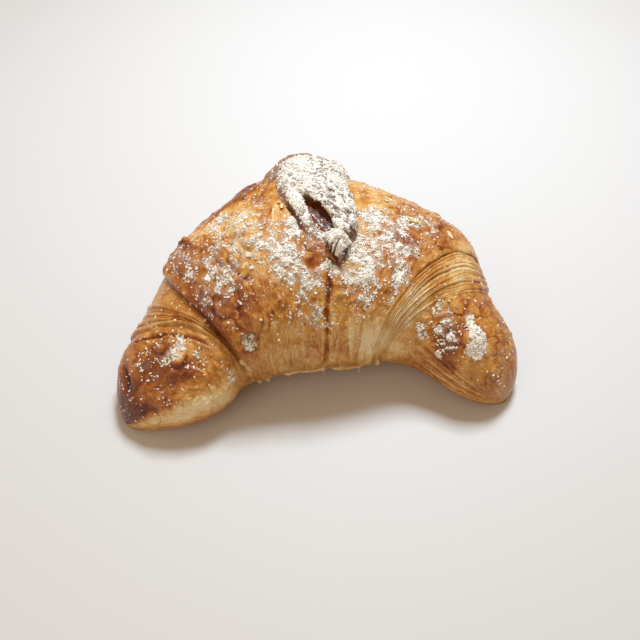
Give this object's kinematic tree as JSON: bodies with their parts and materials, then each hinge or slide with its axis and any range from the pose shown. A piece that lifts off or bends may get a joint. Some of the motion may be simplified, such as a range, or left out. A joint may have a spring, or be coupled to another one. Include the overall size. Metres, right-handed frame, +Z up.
{
  "type": "croissant",
  "caption": "Crescent-shaped laminated pastry with stepped dough edges, a folded tongue on top, a flat underside and a dusting of sugar.",
  "frame": {"origin": "on the surface the croissant lies on, under the middle of its bounding box", "axes": "+Z up from the flat underside; +X from the left tip to the right tip; +Y from the hollow front of the crescent to its round back"},
  "size_m": [0.1484, 0.1056, 0.0597],
  "materials": {
    "crust": "egg-washed golden-brown crust, pale towards the underside, dusted with icing sugar"
  },
  "bodies": {
    "root": {"croissant": "crust"}
  },
  "joints": []
}
